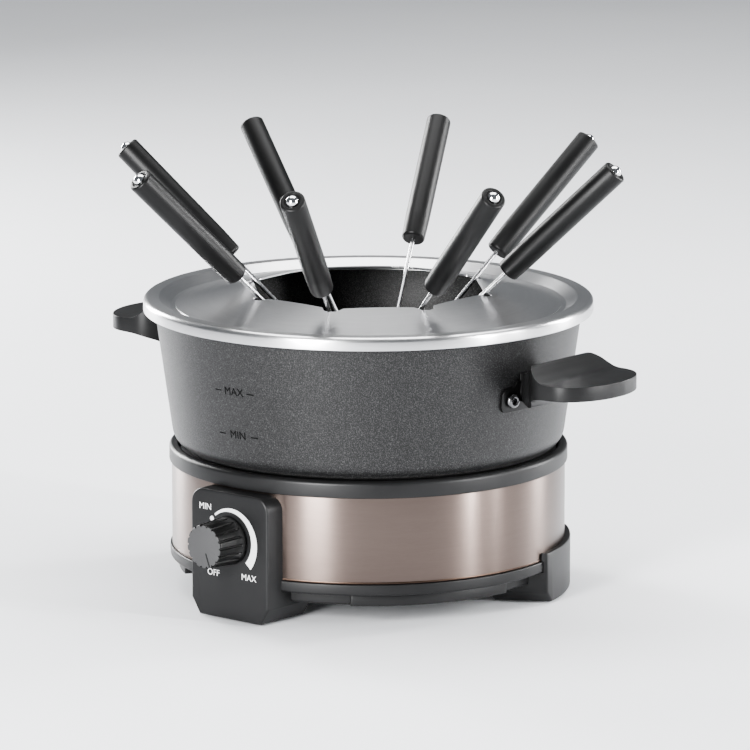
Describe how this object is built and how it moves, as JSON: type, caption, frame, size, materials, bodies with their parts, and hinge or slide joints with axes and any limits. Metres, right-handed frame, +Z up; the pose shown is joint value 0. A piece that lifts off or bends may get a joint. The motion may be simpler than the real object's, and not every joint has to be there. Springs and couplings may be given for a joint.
{
  "type": "fondue pot set",
  "caption": "Electric fondue pot: round heated base with a control knob, lift-off two-handled pot, fork guard with notches and long-handled fondue forks.",
  "frame": {"origin": "on the worktop under the pot's axis, at the centre of the footprint box", "axes": "+Z up along the pot's axis, -Y towards the control knob, X along the pot's two handles"},
  "size_m": [0.332, 0.2598, 0.2315],
  "materials": {
    "black_plastic": "satin moulded plastic",
    "panel_plastic": "satin moulded plastic",
    "knob_plastic": "satin moulded plastic, grey face",
    "band_steel": "champagne brushed stainless sheet",
    "guard_steel": "brushed stainless sheet",
    "pot_coating": "speckled dark grey coating on cast aluminium",
    "handle_plastic": "matt phenolic plastic",
    "bracket_steel": "black enamelled steel strap",
    "rivet_steel": "dark bright rivet steel",
    "cast_aluminium": "cast and machined",
    "element_steel": "dull tubular sheath",
    "sheet_aluminium": "aluminised sheet",
    "zinc_steel": "zinc plated",
    "rubber": "soft feet",
    "ceramic": "heat-proof moulding",
    "fork_steel": "polished stainless wire",
    "fork_plastic": "satin black grip",
    "cap_chrome": "polished end cap"
  },
  "bodies": {
    "base": {"bezel_ring": "black_plastic", "bottom_cover": "black_plastic", "control_housing": "panel_plastic", "cord_gland": "black_plastic", "cover_screws": "zinc_steel", "element_clamps": "zinc_steel", "foot_pads": "rubber", "heat_shield": "sheet_aluminium", "heating_element": "element_steel", "hot_plate": "cast_aluminium", "leg_left": "black_plastic", "leg_right": "black_plastic", "leg_screws": "zinc_steel", "lower_housing": "black_plastic", "metal_band": "band_steel", "shield_screws": "zinc_steel", "terminal_block": "ceramic", "thermal_fuse": "ceramic", "thermostat_body": "ceramic", "thermostat_bracket": "zinc_steel"},
    "knob": {"knob": "knob_plastic", "knob_shaft": "zinc_steel"},
    "pot": {"pot_body": "pot_coating", "handle_left": "handle_plastic", "handle_right": "handle_plastic", "handle_bracket_left": "bracket_steel", "handle_bracket_right": "bracket_steel", "bracket_rivets": "rivet_steel", "handle_screws": "rivet_steel"},
    "guard": {"fork_guard": "guard_steel"},
    "fork_1": {"fork_1_handle": "fork_plastic", "fork_1_shaft": "fork_steel", "fork_1_cap": "cap_chrome"},
    "fork_2": {"fork_2_handle": "fork_plastic", "fork_2_shaft": "fork_steel", "fork_2_cap": "cap_chrome"},
    "fork_3": {"fork_3_handle": "fork_plastic", "fork_3_shaft": "fork_steel", "fork_3_cap": "cap_chrome"},
    "fork_4": {"fork_4_handle": "fork_plastic", "fork_4_shaft": "fork_steel", "fork_4_cap": "cap_chrome"},
    "fork_5": {"fork_5_handle": "fork_plastic", "fork_5_shaft": "fork_steel", "fork_5_cap": "cap_chrome"},
    "fork_6": {"fork_6_handle": "fork_plastic", "fork_6_shaft": "fork_steel", "fork_6_cap": "cap_chrome"},
    "fork_7": {"fork_7_handle": "fork_plastic", "fork_7_shaft": "fork_steel", "fork_7_cap": "cap_chrome"},
    "fork_8": {"fork_8_handle": "fork_plastic", "fork_8_shaft": "fork_steel", "fork_8_cap": "cap_chrome"}
  },
  "joints": [
    {"name": "knob_turn", "type": "hinge", "parent": "base", "child": "knob", "pos_m": [0, -0.112, 0.043], "axis": [0, 1, 0], "range_deg": [0, 300]},
    {"name": "pot_lift", "type": "slide", "parent": "base", "child": "pot", "axis": [0, 0, 1], "range_m": [0, 0.12]},
    {"name": "guard_lift", "type": "slide", "parent": "pot", "child": "guard", "axis": [0, 0, 1], "range_m": [0, 0.09]},
    {"name": "fork_1_pull", "type": "slide", "parent": "guard", "child": "fork_1", "axis": [0.6509, 0.3063, 0.6947], "range_m": [0, 0.116]},
    {"name": "fork_2_pull", "type": "slide", "parent": "guard", "child": "fork_2", "axis": [0.2437, 0.6768, 0.6947], "range_m": [0, 0.116]},
    {"name": "fork_3_pull", "type": "slide", "parent": "guard", "child": "fork_3", "axis": [-0.3063, 0.6509, 0.6947], "range_m": [0, 0.116]},
    {"name": "fork_4_pull", "type": "slide", "parent": "guard", "child": "fork_4", "axis": [-0.6768, 0.2437, 0.6947], "range_m": [0, 0.116]},
    {"name": "fork_5_pull", "type": "slide", "parent": "guard", "child": "fork_5", "axis": [-0.6509, -0.3063, 0.6947], "range_m": [0, 0.116]},
    {"name": "fork_6_pull", "type": "slide", "parent": "guard", "child": "fork_6", "axis": [-0.2437, -0.6768, 0.6947], "range_m": [0, 0.116]},
    {"name": "fork_7_pull", "type": "slide", "parent": "guard", "child": "fork_7", "axis": [0.3063, -0.6509, 0.6947], "range_m": [0, 0.116]},
    {"name": "fork_8_pull", "type": "slide", "parent": "guard", "child": "fork_8", "axis": [0.6768, -0.2437, 0.6947], "range_m": [0, 0.116]}
  ]
}
